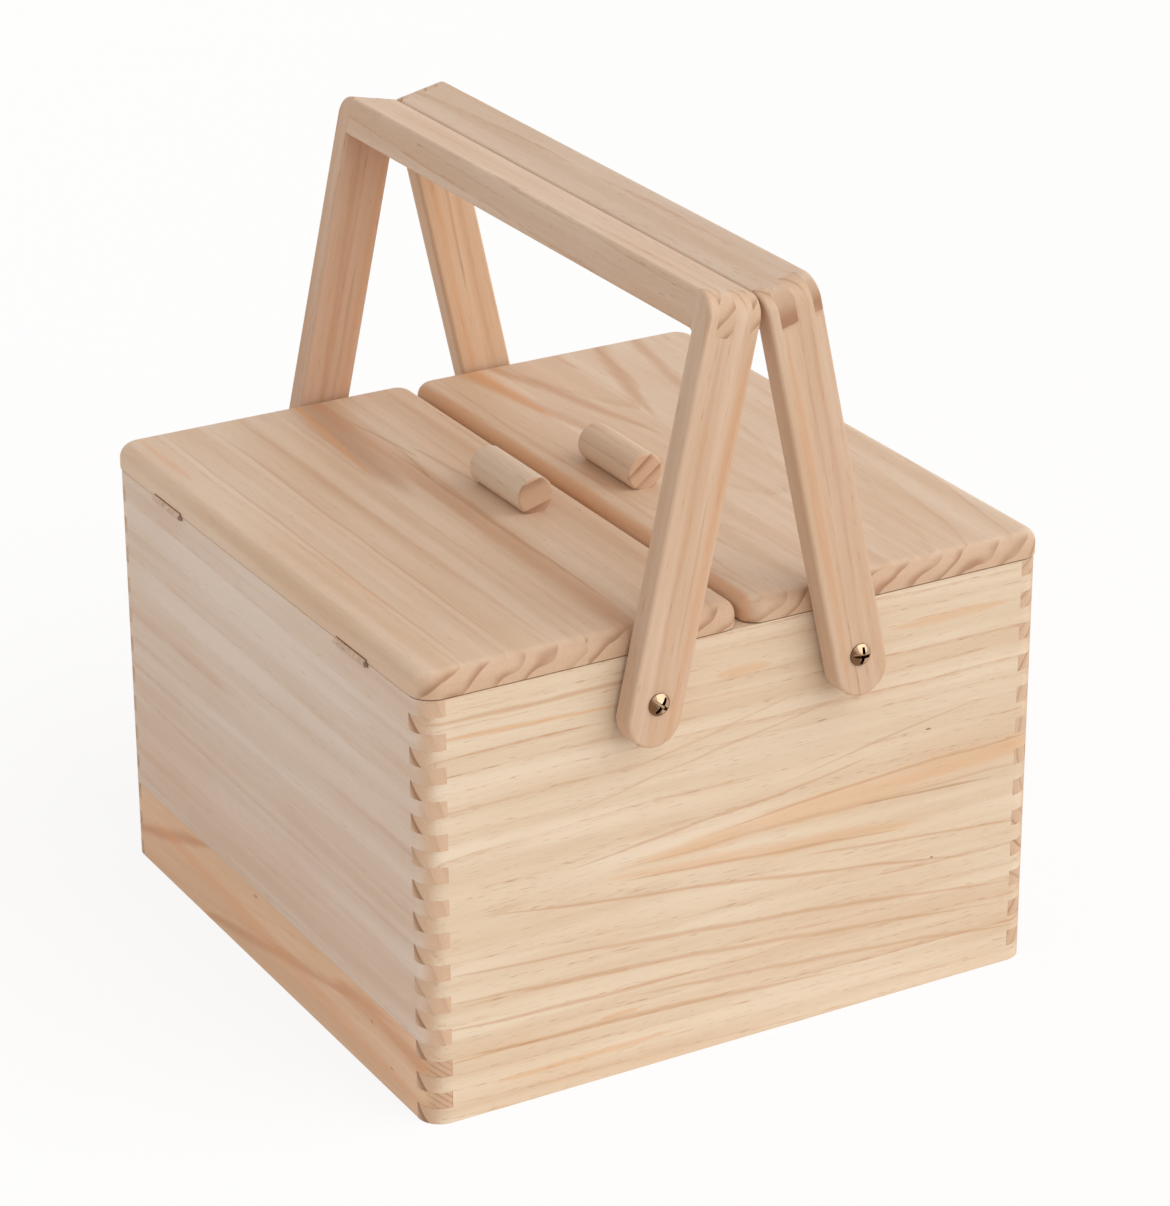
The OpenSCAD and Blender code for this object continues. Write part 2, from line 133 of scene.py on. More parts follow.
class CarrierPine(bpy.types.PropertyGroup):
    """The look of the pine boards"""

    pale: colour_prop("Early wood", "Pale wood that grows in spring", "DECBB2")
    tan: colour_prop("Tan wood", "Warmer patches of early wood", "D3B797")
    late: colour_prop("Late wood", "Dark line that ends each ring", "BB8A60")
    fleck: colour_prop("Flecks", "Short resin flecks along the grain", "A07352")
    end: colour_prop("End grain", "Cut ends of the boards", "CFAD8F")
    end_late: colour_prop("End grain rings", "Dark rings on the cut ends", "9C6C49")
    roughness: bpy.props.FloatProperty(
        name="Roughness", description="Roughness of the sanded wood", default=0.55, min=0, max=1
    )
    relief: bpy.props.FloatProperty(
        name="Relief", description="Strength of the grain's relief", default=0.25, min=0, max=1
    )


class CarrierEdges(bpy.types.PropertyGroup):
    """How far the sharp edges of the wood are eased"""

    board: length_prop("Box boards", "Easing of the edges of the box boards", 0.3)
    lid: length_prop("Lid boards", "Easing of the edges of the lid boards", 0.25)
    handle: length_prop("Handles", "Easing of the joints in the handles", 0.2)
    knob: length_prop("Knobs", "Easing of the foot of the knobs", 0.3)


class CarrierMetal(bpy.types.PropertyGroup):
    """Sizes and colours of the metal"""

    nickel: colour_prop("Screw nickel", "Plating of the pivot screws, washers and nuts", "C6A586")
    # Colour of the painted reflection and painted shade on the screw heads' rims, cross recesses and
    # left, lower side
    painted_reflection_shade: colour_prop("Painted reflection and shade", "Dark bloom on the rims and crosses of the screws", "6E4A2E")
    brass: colour_prop("Hinge brass", "Brass of the hinges and their screws", "C6AA93")
    steel: colour_prop("Steel", "Plating of the hinge pins and the knob screws", "B9B6B0")
    rim: length_prop("Head rim", "Height of the straight rim under the dome", 0.5)
    arm: length_prop("Recess arm", "Width of an arm of the cross recess", 1.7)
    reach: length_prop("Recess reach", "Length of the cross recess over both arms", 8.6)
    depth: length_prop("Recess depth", "Depth of the cross recess", 2.3)
    shank: length_prop("Shank", "Diameter of the screw's shank", 5.0)
    soften: length_prop("Head easing", "Easing of the edges of head and recess", 0.09)
    left_turn: bpy.props.FloatProperty(
        name="Left turn", description="Turn of the cross in the left screws",
        default=math.radians(38), subtype="ANGLE",
    )
    right_turn: bpy.props.FloatProperty(
        name="Right turn", description="Turn of the cross in the right screws",
        default=math.radians(8), subtype="ANGLE",
    )


class CarrierStage(bpy.types.PropertyGroup):
    """Camera, lamps and floor"""

    azimuth: bpy.props.FloatProperty(
        name="Azimuth", description="Where the camera stands round the box",
        default=math.radians(-29.65), subtype="ANGLE",
    )
    elevation: bpy.props.FloatProperty(
        name="Elevation", description="How far the camera looks down",
        default=math.radians(23.63), subtype="ANGLE",
    )
    roll: bpy.props.FloatProperty(
        name="Roll", description="Turn of the picture", default=math.radians(-0.26), subtype="ANGLE"
    )
    distance: length_prop("Distance", "From the camera to the middle of the box", 1694.4)
    right: length_prop("Right", "How far the camera stands to the right of its target", 7.36)
    up: length_prop("Up", "How far the camera stands above its target", 42.62)
    target: length_prop("Target", "Height of the point that the camera looks at", 88.97)
    focal: bpy.props.FloatProperty(
        name="Focal length", description="In millimetres on a 36 mm film", default=122.99
    )
    sky: bpy.props.FloatProperty(
        name="Sky", description="Strength of the light from all round", default=0.64
    )
    key: bpy.props.FloatProperty(
        name="Key", description="Strength of the key lamp", default=1.7
    )
    key_spread: bpy.props.FloatProperty(
        name="Key spread", description="Apparent size of the key lamp",
        default=math.radians(75), subtype="ANGLE",
    )
    floor_glow: bpy.props.FloatProperty(
        name="Floor glow", description="Share of the floor that is plain white to the camera",
        default=0.86, min=0, max=1,
    )
    floor_size: length_prop("Floor", "Width of the floor", 9000)
    floor_colour: colour_prop("Floor colour", "Colour of the floor where shade falls", "FBF6F2")


# Shader building


class Wire:
    """A socket that takes part in plain arithmetic, each step of which adds a Math node"""

    def __init__(self, graph, socket):
        self.graph = graph
        self.socket = socket

    def other(self, name):
        """Another output of the same node."""
        return Wire(self.graph, self.socket.node.outputs[name])

    def math(self, operation, *values):
        """The result of one Math node."""
        sockets = dict(enumerate(values))
        return self.graph.node("ShaderNodeMath", {"operation": operation}, sockets)

    def __add__(self, other):
        return self.math("ADD", self, other)

    def __radd__(self, other):
        return self.math("ADD", other, self)

    def __sub__(self, other):
        return self.math("SUBTRACT", self, other)

    def __rsub__(self, other):
        return self.math("SUBTRACT", other, self)

    def __mul__(self, other):
        return self.math("MULTIPLY", self, other)

    def __rmul__(self, other):
        return self.math("MULTIPLY", other, self)

    def __truediv__(self, other):
        return self.math("DIVIDE", self, other)

    def __rtruediv__(self, other):
        return self.math("DIVIDE", other, self)

    def __pow__(self, other):
        return self.math("POWER", self, other)

    def __rpow__(self, other):
        return self.math("POWER", other, self)

    def __abs__(self):
        return self.math("ABSOLUTE", self)


class Graph:
    """The node tree of one material or world"""

    def __init__(self, owner):
        self.owner = owner
        owner.use_nodes = True
        self.tree = owner.node_tree
        self.tree.nodes.clear()

    def node(self, kind, settings=None, sockets=None, out=0):
        """Adds a node, sets its settings first and then the values or links of its sockets."""
        made = self.tree.nodes.new(kind)
        for key, value in (settings or {}).items():
            if key == "stops":
                self.set_stops(made.color_ramp, value)
            else:
                setattr(made, key, value)
        for key, value in (sockets or {}).items():
            if isinstance(value, Wire):
                self.tree.links.new(value.socket, made.inputs[key])
            else:
                made.inputs[key].default_value = value
        return Wire(self, made.outputs[out]) if made.outputs else None

    def set_stops(self, ramp, stops):
        """Gives a ramp its greys, each a place and a level."""
        while len(ramp.elements) < len(stops):
            ramp.elements.new(1)
        for element, (place, level) in zip(ramp.elements, stops):
            element.position = place
            element.color = (level, level, level, 1)

    def join(self, x, y, z):
        """A vector of three values."""
        return self.node("ShaderNodeCombineXYZ", sockets={0: x, 1: y, 2: z})

    def dot(self, vector, axis):
        """How far a vector reaches along an axis."""
        settings = {"operation": "DOT_PRODUCT"}
        return self.node("ShaderNodeVectorMath", settings, {0: vector, 1: tuple(axis)}, "Value")

    def repeat(self, count, stops):
        """A grey that runs through the stops once for each whole step of the count."""
        share = count.math("FRACT", count)
        return self.node("ShaderNodeValToRGB", {"stops": stops}, {"Fac": share})

    def soft(self, value, low, high):
        """0 below low, 1 above high, and a smooth step between them."""
        return self.node(
            "ShaderNodeMapRange",
            {"interpolation_type": "SMOOTHSTEP", "clamp": True},
            {"Value": value, "From Min": low, "From Max": high, "To Min": 0, "To Max": 1},
        )

    def noise(self, place, scale=1.0, detail=2.0, roughness=0.5):
        """Noise between 0 and 1, most of it near a half."""
        return self.node(
            "ShaderNodeTexNoise",
            {"noise_dimensions": "3D"},
            {"Vector": place, "Scale": scale, "Detail": detail, "Roughness": roughness},
        )

    def mix(self, factor, first, second, blend="MIX"):
        """A mix of two colours, each a link or three numbers."""
        sockets = {0: factor}
        for key, value in ((6, first), (7, second)):
            sockets[key] = value if isinstance(value, Wire) else (*value, 1)
        settings = {"data_type": "RGBA", "blend_type": blend, "clamp_factor": True}
        return self.node("ShaderNodeMix", settings, sockets, out=2)

    def seen(self):
        """1 for what the camera sees, straight, in a reflection or through glass, and 0 for light."""
        path = self.node("ShaderNodeLightPath", out="Is Camera Ray")
        mirrored = path.math("MAXIMUM", path, path.other("Is Glossy Ray"))
        return path.math("MAXIMUM", mirrored, path.other("Is Transmission Ray"))

    def bump(self, height, strength, distance):
        """A normal that follows a height."""
        sockets = {"Strength": strength, "Distance": distance, "Height": height}
        return self.node("ShaderNodeBump", sockets=sockets)

    def finish(self, surface, output="ShaderNodeOutputMaterial"):
        """Links the surface to the output and returns the material or world."""
        self.node(output, sockets={"Surface": surface})
        return self.owner


# Where each board was cut from its log


class Streak:
    """A tinted band along the grain, from one place to another, with its half width and bow in mm"""

    def __init__(self, start, end, half, strength, tint, bow=0.0):
        self.start = start
        self.end = end
        self.half = half
        self.strength = strength
        self.tint = tint
        self.bow = bow


class EndBands:
    """Dark bands across a board's cut ends

    sideways and deep are the slope of the bands, pitch is how far apart they lie, start is where the
    first one lies, strength is how dark they are, and wobble is how far noise moves them.
    """

    def __init__(self, sideways, deep, pitch, start, strength, wobble=0.0):
        self.sideways = sideways
        self.deep = deep
        self.pitch = pitch
        self.start = start
        self.strength = strength
        self.wobble = wobble


class Cut:
    """A board's own directions, and where the heart of the log lies from it, in millimetres

    along runs with the grain, across lies in the face that shows, and inward goes into the board.
    heart is the middle of the rings at along = 0: how far across and how far behind the face.
    drift is how far the heart moves across and inward for each millimetre along, and bend how fast
    its drift inward changes. ring is the distance from ring to ring. Each seed gives its own noise,
    tone and end_tone multiply the colours of face and ends, contrast is the strength of the ring
    lines and warm adds tan wood.
    """

    def __init__(self, origin, along, across, inward, heart, drift, ring, **more):
        self.origin = Vector(origin)
        self.along = Vector(along).normalized()
        self.across = Vector(across).normalized()
        self.inward = Vector(inward).normalized()
        self.heart = heart
        self.drift = drift
        self.ring = ring
        self.seed = more.get("seed", 0)
        self.tone = more.get("tone", (1.0, 1.0, 1.0))
        self.contrast = more.get("contrast", 1.0)
        self.ends = more.get("ends")
        self.end_tone = more.get("end_tone", 1.0)
        self.bend = more.get("bend", 0.0)
        self.warm = more.get("warm", 0.0)
        self.streaks = more.get("streaks", ())


STREAK_TINTS = {
    "orange": srgb("D39B66"),
    "brown": srgb("A8774F"),
    "umber": srgb("BC8A61"),
    "dark": srgb("7E5233"),
    "pink": srgb("DDB598"),
}

# How dark a ring is from its pale start to its sharp dark edge, on a face and on an end
LATE_STOPS = (
    (0.0, 0.1), (0.06, 0.0), (0.6, 0.05), (0.78, 0.35), (0.89, 1.0), (0.96, 0.85), (1.0, 0.1)
)
END_STOPS = (
    (0.0, 0.1), (0.05, 0.0), (0.5, 0.05), (0.68, 0.35), (0.84, 0.8), (0.97, 1.0), (1.0, 0.1)
)

# Noise patterns of the wood: the length and width of their spots in millimetres, their detail and
# roughness, and how far along the board they are shifted
GRAINS = {
    "wander": (240, 60, 2.0, 0.5, 0),
    "waver": (60, 10, 2.0, 0.5, 90),
    "broken": (60, 9, 2.0, 0.5, 30),
    "dash": (12, 1.1, 2.0, 0.5, 44),
    "fibre": (24, 0.45, 3.0, 0.65, 50),
    "patch": (130, 34, 3.0, 0.5, 70),
    "fleck": (8, 0.7, 1.0, 0.5, 20),
    "band": (380, 9, 3.0, 0.5, 15),
    "ragged": (40, 4, 2.0, 0.5, 11),
    "pores": (0.8, 0.45, 2.0, 0.5, 0),
}
# How far the rings stray over a board and over a few centimetres, in millimetres
WANDER = 5.0
WAVER = 2.4
# How far the noise of one seed lies from that of the next, in millimetres
SEED_STEP = 37.0
# The size of the blots that break up the bands of an end, in millimetres
BLOT = 19
# How many blooms and scratches the metal has to the metre
BLOOM_SCALE = 420
SCRATCH_SCALE = 2600
# The relief of the wood and of the metal at full strength
WOOD_RELIEF = 0.12 * MM
METAL_RELIEF = 0.03 * MM


class BoardGraph(Graph):
    """The node tree of one board, which knows each place along, across and into it in millimetres"""

    def __init__(self, name, cut):
        super().__init__(bpy.data.materials.new(name))
        self.cut = cut
        texture = self.node("ShaderNodeTexCoord", out="Object")
        settings = {"operation": "SUBTRACT"}
        place = self.node("ShaderNodeVectorMath", settings, {0: texture, 1: tuple(cut.origin)})
        self.along = self.dot(place, cut.along) / MM
        self.across = self.dot(place, cut.across) / MM
        self.inward = self.dot(place, cut.inward) / MM
        self.facing = abs(self.dot(texture.other("Normal"), cut.along))
        self.shift = cut.seed * SEED_STEP

    def grain(self, pattern):
        """Noise in spots that are long along the grain."""
        length, width, detail, roughness, offset = GRAINS[pattern]
        spot = self.join(
            (self.along + (self.shift + offset)) / length,
            (self.across + self.shift) / width,
            self.inward / width,
        )
        return self.noise(spot, 1.0, detail, roughness)


def ring_lines(graph, waver):
    """The late wood of the rings, each ring's own strength, and the broken lines on a face."""
    cut = graph.cut
    wander = (graph.grain("wander") - 0.5) * WANDER
    side = graph.across - cut.heart[0] - graph.along * cut.drift[0]
    depth = graph.inward + cut.heart[1] + graph.along * cut.drift[1]
    if cut.bend:
        depth = depth + graph.along * graph.along * cut.bend
    radius = (side * side + depth * depth) ** 0.5 + wander + waver
    count = radius / cut.ring
    late = graph.repeat(count, LATE_STOPS)
    own = count.math("FLOOR", count) + graph.shift
    strength = graph.node("ShaderNodeTexWhiteNoise", {"noise_dimensions": "1D"}, {"W": own})
    broken = graph.soft(graph.grain("broken"), 0.34, 0.70)
    dash = graph.soft(graph.grain("dash"), 0.42, 0.60)
    line = late * (0.25 + strength * 0.75) * (0.12 + broken * 0.88) * (0.5 + dash * 0.75)
    return late, strength, line


def add_streaks(graph, colour, waver, ragged):
    """Lays the board's streaks over its colour, each tapered to its ends and ragged at its sides."""
    for streak in graph.cut.streaks:
        run = (graph.along - streak.start[0]) / (streak.end[0] - streak.start[0])
        taper = 1 - abs(run * 2 - 1)
        centre = streak.start[1] + run * (streak.end[1] - streak.start[1])
        if streak.bow:
            centre = centre + run * (1 - run) * (4 * streak.bow)
        reach = graph.soft(taper, -0.3, 0.8) * streak.half
        away = abs(graph.across - centre + waver * 1.5) / reach
        body = graph.soft(1 - away + ragged * 0.5, -0.15, 0.95)
        mask = body * graph.soft(taper, 0.0, 0.3) * streak.strength
        colour = graph.mix(mask, colour, STREAK_TINTS[streak.tint])
    return colour


def end_grain(graph, look, waver, line, pores):
    """The colour of the board's cut ends, with the rings of its log or bands of their own."""
    bands = graph.cut.ends
    if bands:
        spot = graph.join(graph.across / BLOT, graph.inward / BLOT, graph.shift)
        blot = graph.noise(spot, 1.0, 1.0)
        swing = waver * 0.3 + (blot - 0.5) * bands.wobble
        slope = graph.across * bands.sideways + graph.inward * bands.deep
        line = graph.repeat((slope + bands.start + swing) / bands.pitch, END_STOPS)
        line = line * (0.35 + graph.soft(blot, 0.34, 0.6) * 0.65) * bands.strength
    base = tuple(min(c * graph.cut.end_tone, 1.0) for c in look.end)
    colour = graph.mix(line * 0.9, base, look.end_late)
    return graph.mix(pores * 0.22, colour, look.fleck)


def pine_material(name, cut, look):
    """Pine as it lies in one board, from the rings of its log to its fibres."""
    graph = BoardGraph(name, cut)
    waver = (graph.grain("waver") - 0.5) * WAVER
    late, strength, line = ring_lines(graph, waver)
    fibre = graph.grain("fibre")
    patch = graph.soft(graph.grain("patch"), 0.32, 0.68)
    fleck = graph.soft(graph.grain("fleck"), 0.60, 0.72) * (0.35 + late * 0.65)
    band = graph.soft(graph.grain("band"), 0.36, 0.64)
    pores = graph.soft(graph.grain("pores"), 0.35, 0.7)

    warmth = patch * 0.45 + band * 0.45 + (strength - 0.5) * 0.4 + cut.warm
    colour = graph.mix(warmth, look.pale, look.tan)
    colour = graph.mix(line * (0.75 * cut.contrast), colour, look.late)
    colour = graph.mix(fleck * (0.55 * cut.contrast), colour, look.fleck)
    ragged = (fibre - 0.5) * 1.1 + (graph.grain("ragged") - 0.5) * 1.4
    colour = add_streaks(graph, colour, waver, ragged)
    shade = 1 + (fibre - 0.5) * 0.16 - band * 0.03
    tone = graph.join(*(shade * level for level in cut.tone))
    colour = graph.mix(1.0, colour, tone, "MULTIPLY")

    cut_end = graph.soft(graph.facing, 0.3, 0.82)
    end_colour = end_grain(graph, look, waver, late * (0.45 + strength * 0.55), pores)
    colour = graph.mix(cut_end * 0.88, colour, end_colour)
    height = fibre * 0.6 + line * 0.4 + pores * cut_end * 0.5
    surface = graph.node(
        "ShaderNodeBsdfPrincipled",
        sockets={
            "Base Color": colour,
            "Roughness": look.roughness - line * 0.08 + (fibre - 0.5) * 0.1,
            "Specular IOR Level": 0.35,
            "Normal": graph.bump(height, look.relief, WOOD_RELIEF),
        },
    )
    return graph.finish(surface)


def metal_material(name, tint, roughness, wear, painted_reflection_shade=None):
    """Plated metal with faint brushing, with painted reflection and painted shade where a rim or a
    recess turns away and on the left, lower side.

    wear is how dark its bloom is beside the plain plating.
    """
    graph = Graph(bpy.data.materials.new(name))
    place = graph.node("ShaderNodeTexCoord", out="Object")
    bloom = graph.noise(place, BLOOM_SCALE, 3.0)
    scratch = graph.noise(place, SCRATCH_SCALE, 2.0)
    worn = tuple(c * wear for c in tint)
    colour = graph.mix(graph.soft(bloom, 0.35, 0.75), tuple(tint), worn)
    # Painted reflection and painted shade: rims, recess walls and the left, lower side of a head are
    # darkened in the base colour
    if painted_reflection_shade:
        normal = place.other("Normal")
        turned = 1 - graph.soft(abs(graph.dot(normal, Y)), 0.50, 0.64)
        mask = turned + graph.soft(graph.dot(normal, PAINTED_SHADE_SIDE), 0.02, 0.4)
        colour = graph.mix(graph.soft(mask, 0.0, 1.0) * 0.92, colour, tuple(painted_reflection_shade))
    surface = graph.node(
        "ShaderNodeBsdfPrincipled",
        sockets={
            "Base Color": colour,
            "Metallic": 1.0,
            "Roughness": roughness + (bloom - 0.5) * 0.12,
            "Normal": graph.bump(scratch, 0.15, METAL_RELIEF),
        },
    )
    return graph.finish(surface)


# Mesh work


def select_only(*objects):
    """Selects these objects and nothing else, and makes the first one active."""
    bpy.ops.object.select_all(action="DESELECT")
    for item in objects:
        item.select_set(True)
    bpy.context.view_layer.objects.active = objects[0]


def apply_modifier(piece, kind, settings):
    """Adds a modifier, sets it and applies it."""
    select_only(piece)
    bpy.ops.object.modifier_add(type=kind)
    modifier = piece.modifiers[-1]
    for key, value in settings.items():
        setattr(modifier, key, value)
    bpy.ops.object.modifier_apply(modifier=modifier.name)


def ease_edges(piece, width, angle, **more):
    """Rounds the edges that are sharper than the angle."""
    settings = {
        "width": width, "segments": EASE_SEGMENTS, "limit_method": "ANGLE", "angle_limit": angle
    }
    apply_modifier(piece, "BEVEL", settings | more)


def give_material(piece, material):
    """Makes the material the piece's only one."""
    piece.data.materials.clear()
    piece.data.materials.append(material)


def body_of(node):
    """The name of the body that a node rides on."""
    for body, members in frame["record"]["behaviour"]["bodies"].items():
        if node in members:
            return body
    raise RuntimeError(f"{node} is on no body")


def stand_for(piece, node):
    """Puts a piece in the place of a CAD node, on its body and with its finish."""
    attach(piece, body_of(node))
    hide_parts(node)


def corner(node, end):
    """The lowest or highest corner of a node's box."""
    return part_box(node)[end]


def select_facing(piece, direction, least=0.99):
    """In edit mode, leaves only the faces selected that look that way and lie furthest out."""
    bpy.ops.mesh.select_all(action="DESELECT")
    bpy.ops.object.mode_set(mode="OBJECT")
    towards = Vector(direction)
    faces = [face for face in piece.data.polygons if face.normal.dot(towards) > least]
    furthest = max(face.center.dot(towards) for face in faces)
    for face in faces:
        face.select = face.center.dot(towards) > furthest - MERGE
    bpy.ops.object.mode_set(mode="EDIT")
    bpy.ops.mesh.select_mode(type="FACE")


def cut_recess(head, look, top, turn):
    """Cuts one tapered slot of the cross into the head."""
    clear = look.depth / 4
    bpy.ops.mesh.primitive_cube_add(size=1, location=(0, 0, 0))
    cutter = bpy.context.active_object
    cutter.dimensions = (look.reach, look.depth + clear, look.arm)
    bpy.ops.object.transform_apply(location=False, rotation=False, scale=True)
    bpy.ops.object.mode_set(mode="EDIT")
    select_facing(cutter, (0, 1, 0))
    bpy.ops.transform.resize(value=RECESS_TAPER)
    bpy.ops.object.mode_set(mode="OBJECT")
    cutter.rotation_euler = (0, turn, 0)
    cutter.location = (0, top + (look.depth - clear) / 2, 0)
    bpy.ops.object.transform_apply(location=True, rotation=True, scale=False)
    apply_modifier(head, "BOOLEAN", {"operation": "DIFFERENCE", "solver": "EXACT", "object": cutter})
    bpy.data.objects.remove(cutter)


def add_cylinder(sides, radius, start, end):
    """A cylinder on the Y axis between two places, its object at the origin."""
    bpy.ops.object.select_all(action="DESELECT")
    bpy.ops.mesh.primitive_cylinder_add(
        vertices=sides, radius=radius, depth=end - start,
        location=(0, (start + end) / 2, 0), rotation=(math.pi / 2, 0, 0),
    )
    bpy.ops.object.transform_apply(location=True, rotation=True, scale=True)
    return bpy.context.active_object


def raise_dome(head, radius, rise):
    """Raises the front of the head to a dome, ring by ring."""
    dome = (radius ** 2 + rise ** 2) / (2 * rise)
    bpy.ops.object.mode_set(mode="EDIT")
    select_facing(head, (0, -1, 0))
    reached, wide = 0.0, radius
    for step in range(1, DOME_STEPS + 1):
        slope = math.asin(radius / dome) * (1 - step / (DOME_STEPS + 1))
        narrow = dome * math.sin(slope)
        height = dome * math.cos(slope) - (dome - rise)
        bpy.ops.mesh.extrude_region_move(TRANSFORM_OT_translate={"value": (0, reached - height, 0)})
        share = narrow / wide
        bpy.ops.transform.resize(value=(share, 1, share))
        reached, wide = height, narrow
    bpy.ops.mesh.poke()
    bpy.ops.mesh.select_all(action="DESELECT")
    bpy.ops.object.mode_set(mode="OBJECT")


def model_screw(look, sizes, turn):
    """A front screw on the Y axis: its domed head, its cross and its shank."""
    head = add_cylinder(SCREW_SIDES, sizes["radius"], sizes["seat"] - look.rim, sizes["seat"])
    raise_dome(head, sizes["radius"], sizes["seat"] - sizes["top"] - look.rim)
    for quarter in (0, math.pi / 2):
        cut_recess(head, look, sizes["top"], turn + quarter)
    bpy.ops.object.shade_smooth_by_angle(angle=SMOOTH_ANGLE)
    ease_edges(head, look.soften, HEAD_EDGE_ANGLE)
    shank = add_cylinder(SCREW_SIDES // 2, look.shank / 2, sizes["seat"], sizes["tip"])
    bpy.ops.object.mode_set(mode="EDIT")
    select_facing(shank, (0, 1, 0))
    bpy.ops.mesh.bevel(offset=look.shank / 10, segments=EASE_SEGMENTS)
    bpy.ops.object.mode_set(mode="OBJECT")
    select_only(head, shank)
    bpy.ops.object.join()
    bpy.ops.object.shade_smooth_by_angle(angle=SMOOTH_ANGLE)
    return bpy.context.active_object


def placed_copy(model, place, half_turn):
    """A copy with its own mesh, turned about Z and put in its place, its object at the origin."""
    select_only(model)
    bpy.ops.object.duplicate()
    piece = bpy.context.active_object
    piece.rotation_euler = (0, 0, half_turn)
    piece.location = place
    bpy.ops.object.transform_apply(location=True, rotation=True, scale=True)
    return piece


def eased_copy(node, ease, material):
    """A copy of a board with its doubles merged, its flat faces joined and its sharp edges eased."""
    select_only(frame["nodes"][node])
    bpy.ops.object.duplicate()
    piece = bpy.context.active_object
    piece.name = node + "_eased"
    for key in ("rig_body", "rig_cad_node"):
        del piece[key]
    bpy.ops.object.mode_set(mode="EDIT")
    bpy.ops.mesh.select_all(action="SELECT")
    bpy.ops.mesh.customdata_custom_splitnormals_clear()
    bpy.ops.mesh.remove_doubles(threshold=MERGE)
    bpy.ops.mesh.dissolve_limited(angle_limit=FLAT_ANGLE)
    bpy.ops.object.mode_set(mode="OBJECT")
    bpy.ops.object.shade_smooth_by_angle(angle=SMOOTH_ANGLE)
    ease_edges(piece, ease, BOARD_EDGE_ANGLE, use_clamp_overlap=True, harden_normals=True)
    give_material(piece, material)
    stand_for(piece, node)


def ease_boards(cuts, ease, look):
    """Shows each node of the cuts as an eased copy in its own pine."""
    for node, cut in cuts.items():
        eased_copy(node, ease, pine_material(f"{node}_pine", cut, look))


# The cut of each board


def box_cuts():
    """The boards of the box, with places on a face measured from the floor and the middle."""
    front = corner("front_panel", LOW).y
    back = corner("back_panel", HIGH).y
    left = corner("left_upper_board", LOW).x
    right = corner("right_upper_board", HIGH).x
    front_streaks = (
        Streak((-66, 88), (190, 99), 7.0, 0.44, "orange", 1.0),
        Streak((-84, 116), (70, 141), 0.9, 0.32, "umber", 1.0),
        Streak((-60, 128), (30, 146), 0.9, 0.28, "umber", -1.0),
        Streak((20, 108), (110, 122), 0.8, 0.28, "brown"),
        Streak((-20, 93), (150, 101), 0.9, 0.5, "umber", 2.0),
        Streak((-66, 88), (150, 89), 1.0, 0.3, "umber", 1.0),
        Streak((-70, 86), (92, 74), 4.0, 0.34, "orange", 0.5),
        Streak((-60, 84), (84, 73), 1.1, 0.5, "umber"),
        Streak((50, 89.5), (120, 86), 0.9, 0.55, "brown"),
        Streak((-84, 94), (70, 110), 1.0, 0.45, "umber", -1.0),
        Streak((-122, 85), (122, 51), 1.2, 0.5, "umber", 1.5),
        Streak((-150, 64), (150, 34), 1.3, 0.45, "umber", 2.5),
        Streak((-150, 52), (140, 25), 1.4, 0.42, "umber", 3.0),
        Streak((-140, 41), (-10, 35), 1.2, 0.5, "umber", -1.0),
        Streak((-60, 33), (150, 14), 1.3, 0.42, "umber", 2.0),
        Streak((-150, 26), (60, 16), 1.4, 0.42, "umber", 2.5),
        Streak((20, 74), (150, 62), 1.0, 0.45, "umber"),
        Streak((-150, 168), (-20, 166), 1.3, 0.5, "umber"),
        Streak((-150, 160), (-40, 157), 1.4, 0.5, "orange", 1.0),
        Streak((-14, 160), (14, 160), 3.0, 0.4, "orange"),
        Streak((62, 161), (127, 161), 3.0, 0.4, "orange"),
        Streak((-64, 26), (-45, 26), 1.2, 0.45, "orange"),
        Streak((-114, 12), (-22, 12), 2.2, 0.4, "orange"),
        Streak((84, 114), (87, 114), 0.6, 0.8, "dark"),
        Streak((88, 57), (90, 57), 0.6, 0.8, "dark"),
    )
    left_low_streaks = (
        Streak((142, 8), (48, 38), 4.2, 0.7, "umber"),
        Streak((80, -3), (-80, 27), 3.8, 0.6, "umber", 1.5),
        Streak((-50, 25), (-160, 18), 8.0, 0.65, "umber", 5.0),
        Streak((140, 24), (-150, 6), 7.0, 0.3, "orange"),
        Streak((16, 31), (11, 32), 0.8, 0.5, "dark"),
        Streak((-88, 24), (-91, 23), 0.8, 0.6, "dark"),
        Streak((-104, 11), (-107, 11), 0.8, 0.5, "dark"),
    )
    return {
        "front_panel": Cut(
            (0, front, 0), X, Z, Y, heart=(86.5, 40.67), drift=(-0.025, -0.02), ring=5.5,
            bend=7.3e-5, seed=1, contrast=0.95, tone=(1.05, 1.05, 1.06), streaks=front_streaks,
            ends=EndBands(0.714, -1, 9.72, 3.9, 1.35), end_tone=1.1,
        ),
        "back_panel": Cut(
            (0, back, 0), X, Z, -Y, heart=(70, 50), drift=(0.03, 0.05), ring=5.2,
            seed=2, contrast=0.8,
        ),
        "left_upper_board": Cut(
            (left, 0, 0), Y, Z, X, heart=(425, 40), drift=(0.016, 0.0), ring=12.6,
            seed=3, contrast=0.5, tone=(1.05, 1.05, 1.17),
            streaks=(Streak((-300, 46), (300, 60), 20.0, 0.18, "orange"),),
            ends=EndBands(0.3, 1, 6.0, 0, 0.3), end_tone=1.1,
        ),
        "left_lower_board": Cut(
            (left, 0, 0), Y, Z, X, heart=(110, 30), drift=(-0.14, 0.0), ring=9.0,
            seed=4, contrast=0.35, warm=0.4, tone=(1.22, 1.08, 1.02), streaks=left_low_streaks,
            ends=EndBands(1.2, 1, 3.4, 0, 1.0),
        ),
        "right_upper_board": Cut(
            (right, 0, 0), Y, Z, -X, heart=(100, 46), drift=(0.02, 0.05), ring=5.4,
            seed=5, contrast=0.7,
        ),
        "right_lower_board": Cut(
            (right, 0, 0), Y, Z, -X, heart=(-20, 60), drift=(0.02, 0.05), ring=5.2,
            seed=6, contrast=0.8, warm=0.3,
        ),
    }


